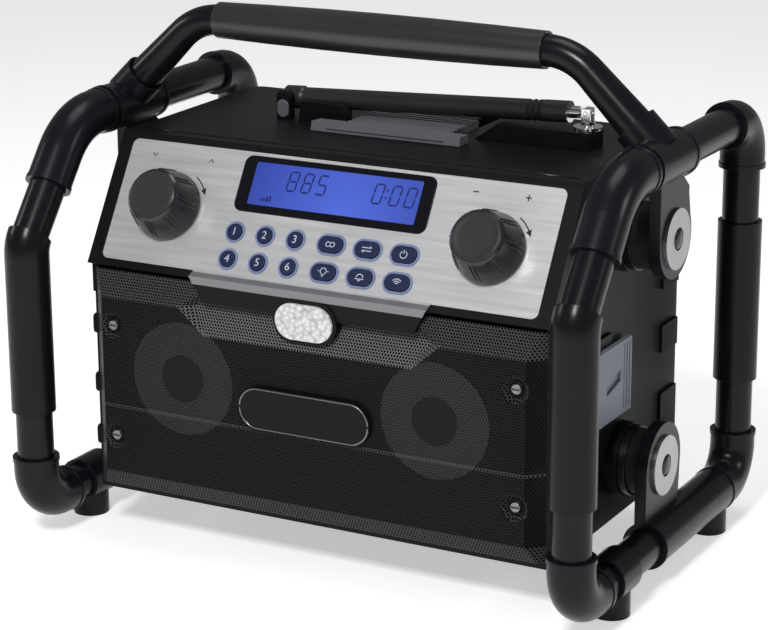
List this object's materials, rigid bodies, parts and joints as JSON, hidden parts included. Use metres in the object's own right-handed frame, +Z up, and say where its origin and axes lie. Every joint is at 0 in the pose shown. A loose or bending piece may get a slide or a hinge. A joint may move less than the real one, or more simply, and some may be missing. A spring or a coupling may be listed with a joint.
{
  "type": "jobsite radio",
  "caption": "Jobsite radio with a leaning control panel, hung on rubber dampers between two pipe frames that a carrying handle joins.",
  "frame": {"origin": "on the ground, under the middle of the box round the whole radio", "axes": "+X to the right of someone facing the control panel, +Y to the back, +Z up"},
  "size_m": [0.4156, 0.2916, 0.3463],
  "materials": {
    "pipe_coating": "satin",
    "handle_coating": "satin",
    "charcoal_plastic": "matte",
    "fitting_plastic": "satin",
    "sleeve_rubber": "matte",
    "damper_rubber": "matte",
    "brushed_plate": "brushed",
    "washer_metal": "satin",
    "steel": "satin",
    "grille_sheet": "satin",
    "key_navy": "satin",
    "key_rubber": "matte",
    "knob_black": "satin",
    "window_clear": "gloss",
    "lens_clear": "gloss",
    "latch_grey": "matte",
    "catch_grey": "matte",
    "board_green": "matte",
    "speaker_black": "matte",
    "badge_silver": "satin",
    "aerial_chrome": "polished",
    "aerial_rubber": "matte"
  },
  "bodies": {
    "radio": {"aerial_rest": "charcoal_plastic", "amplifier_board": "board_green", "badge_plate": "badge_silver", "battery_tray": "charcoal_plastic", "bottom_pipes": "pipe_coating", "control_board": "board_green", "control_plate": "brushed_plate", "damper_seats": "charcoal_plastic", "display_module": "speaker_black", "display_window": "window_clear", "door_pin": "steel", "encoders": "steel", "foot_tees": "fitting_plastic", "front_casing": "charcoal_plastic", "front_pipes": "pipe_coating", "front_sleeves": "sleeve_rubber", "grille_screws": "steel", "handle_bar": "handle_coating", "handle_grip": "sleeve_rubber", "handle_tee_left": "fitting_plastic", "handle_tee_right": "fitting_plastic", "key_mat": "key_rubber", "lamp_board": "board_green", "lamp_lens": "lens_clear", "lower_bracket_left": "fitting_plastic", "lower_bracket_right": "fitting_plastic", "lower_elbows": "fitting_plastic", "mount_bolts": "steel", "mount_dampers": "damper_rubber", "mount_rings": "steel", "mount_washers": "washer_metal", "rear_casing": "charcoal_plastic", "rear_pipes": "pipe_coating", "rear_sleeves": "sleeve_rubber", "side_pads": "charcoal_plastic", "speaker_grille": "grille_sheet", "speaker_left": "speaker_black", "speaker_right": "speaker_black", "top_pipes": "pipe_coating", "upper_front_elbows": "fitting_plastic", "upper_rear_elbows": "fitting_plastic"},
    "key_one": {"key_one": "key_navy"},
    "key_two": {"key_two": "key_navy"},
    "key_three": {"key_three": "key_navy"},
    "key_four": {"key_four": "key_navy"},
    "key_five": {"key_five": "key_navy"},
    "key_six": {"key_six": "key_navy"},
    "key_link": {"key_link": "key_navy"},
    "key_source": {"key_source": "key_navy"},
    "key_power": {"key_power": "key_navy"},
    "key_lamp": {"key_lamp": "key_navy"},
    "key_alarm": {"key_alarm": "key_navy"},
    "key_band": {"key_band": "key_navy"},
    "tune_push": {"tune_shaft": "steel"},
    "tune_dial": {"tune_knob": "knob_black"},
    "volume_push": {"volume_shaft": "steel"},
    "volume_dial": {"volume_knob": "knob_black"},
    "battery_door": {"rear_door": "charcoal_plastic"},
    "door_catch": {"door_latch": "latch_grey"},
    "socket_hatch": {"side_hatch": "charcoal_plastic"},
    "hatch_catch": {"side_latch": "catch_grey"},
    "aerial_turntable": {"aerial_base": "aerial_chrome"},
    "aerial_arm": {"aerial_rod": "aerial_rubber"}
  },
  "joints": [
    {"name": "key_one_press", "type": "slide", "parent": "radio", "child": "key_one", "axis": [0, 0.8517, -0.524], "range_m": [0, 0.001], "stiffness_N_per_m": 300},
    {"name": "key_two_press", "type": "slide", "parent": "radio", "child": "key_two", "axis": [0, 0.8517, -0.524], "range_m": [0, 0.001], "stiffness_N_per_m": 300},
    {"name": "key_three_press", "type": "slide", "parent": "radio", "child": "key_three", "axis": [0, 0.8517, -0.524], "range_m": [0, 0.001], "stiffness_N_per_m": 300},
    {"name": "key_four_press", "type": "slide", "parent": "radio", "child": "key_four", "axis": [0, 0.8517, -0.524], "range_m": [0, 0.001], "stiffness_N_per_m": 300},
    {"name": "key_five_press", "type": "slide", "parent": "radio", "child": "key_five", "axis": [0, 0.8517, -0.524], "range_m": [0, 0.001], "stiffness_N_per_m": 300},
    {"name": "key_six_press", "type": "slide", "parent": "radio", "child": "key_six", "axis": [0, 0.8517, -0.524], "range_m": [0, 0.001], "stiffness_N_per_m": 300},
    {"name": "key_link_press", "type": "slide", "parent": "radio", "child": "key_link", "axis": [0, 0.8517, -0.524], "range_m": [0, 0.001], "stiffness_N_per_m": 300},
    {"name": "key_source_press", "type": "slide", "parent": "radio", "child": "key_source", "axis": [0, 0.8517, -0.524], "range_m": [0, 0.001], "stiffness_N_per_m": 300},
    {"name": "key_power_press", "type": "slide", "parent": "radio", "child": "key_power", "axis": [0, 0.8517, -0.524], "range_m": [0, 0.001], "stiffness_N_per_m": 300},
    {"name": "key_lamp_press", "type": "slide", "parent": "radio", "child": "key_lamp", "axis": [0, 0.8517, -0.524], "range_m": [0, 0.001], "stiffness_N_per_m": 300},
    {"name": "key_alarm_press", "type": "slide", "parent": "radio", "child": "key_alarm", "axis": [0, 0.8517, -0.524], "range_m": [0, 0.001], "stiffness_N_per_m": 300},
    {"name": "key_band_press", "type": "slide", "parent": "radio", "child": "key_band", "axis": [0, 0.8517, -0.524], "range_m": [0, 0.001], "stiffness_N_per_m": 300},
    {"name": "tune_press", "type": "slide", "parent": "radio", "child": "tune_push", "axis": [0, 0.8517, -0.524], "range_m": [0, 0.001], "stiffness_N_per_m": 900},
    {"name": "tune_turn", "type": "hinge", "parent": "tune_push", "child": "tune_dial", "pos_m": [-0.1142, -0.08136, 0.22392], "axis": [0, -0.8517, 0.524], "continuous": true},
    {"name": "volume_press", "type": "slide", "parent": "radio", "child": "volume_push", "axis": [0, 0.8517, -0.524], "range_m": [0, 0.001], "stiffness_N_per_m": 900},
    {"name": "volume_turn", "type": "hinge", "parent": "volume_push", "child": "volume_dial", "pos_m": [0.1142, -0.08136, 0.22392], "axis": [0, -0.8517, 0.524], "continuous": true},
    {"name": "door_open", "type": "hinge", "parent": "radio", "child": "battery_door", "pos_m": [0, 0.1025, 0.056], "axis": [-1, 0, 0], "range_deg": [0, 90]},
    {"name": "door_latch_tip", "type": "hinge", "parent": "radio", "child": "door_catch", "pos_m": [0, 0.053, 0.259], "axis": [-1, 0, 0], "range_deg": [0, 6], "stiffness_Nm_per_rad": 0.6},
    {"name": "hatch_open", "type": "hinge", "parent": "radio", "child": "socket_hatch", "pos_m": [0.1632, -0.0915, 0.13], "axis": [0, 0, -1], "range_deg": [0, 100]},
    {"name": "hatch_latch_open", "type": "hinge", "parent": "socket_hatch", "child": "hatch_catch", "pos_m": [0.1664, -0.0415, 0.129], "axis": [0, 0, -1], "range_deg": [0, 30]},
    {"name": "aerial_swing", "type": "hinge", "parent": "radio", "child": "aerial_turntable", "pos_m": [0.125, 0.0335, 0.2758], "axis": [0, 0, 1], "range_deg": [-90, 0]},
    {"name": "aerial_tilt", "type": "hinge", "parent": "aerial_turntable", "child": "aerial_arm", "pos_m": [0.125, 0.0335, 0.2864], "axis": [0, 1, 0], "range_deg": [0, 92]}
  ]
}
